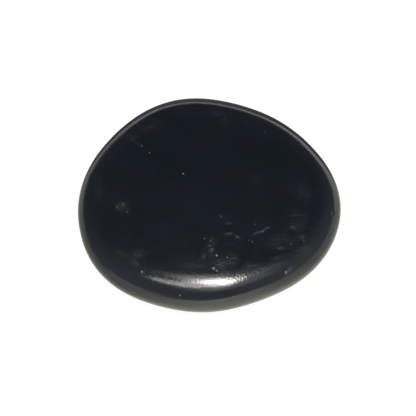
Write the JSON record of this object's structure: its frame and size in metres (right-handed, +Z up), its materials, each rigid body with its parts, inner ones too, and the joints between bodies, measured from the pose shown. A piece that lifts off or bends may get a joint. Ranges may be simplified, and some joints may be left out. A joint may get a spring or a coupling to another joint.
{
  "type": "flat shungite stone",
  "caption": "Flat, rounded pebble of black shungite, tumbled and polished all over, that lies on its worn flat underside or sits in the palm.",
  "frame": {"origin": "middle of the stone's box, on the plane of the flat face that it rests on", "axes": "+X along the stone's longest way across, +Z up out of its broad top face, and -Y towards the side that faces the picture's camera"},
  "size_m": [0.06, 0.0554, 0.012],
  "materials": {
    "polished_shungite": "polished"
  },
  "bodies": {
    "root": {"stone": "polished_shungite"}
  },
  "joints": []
}
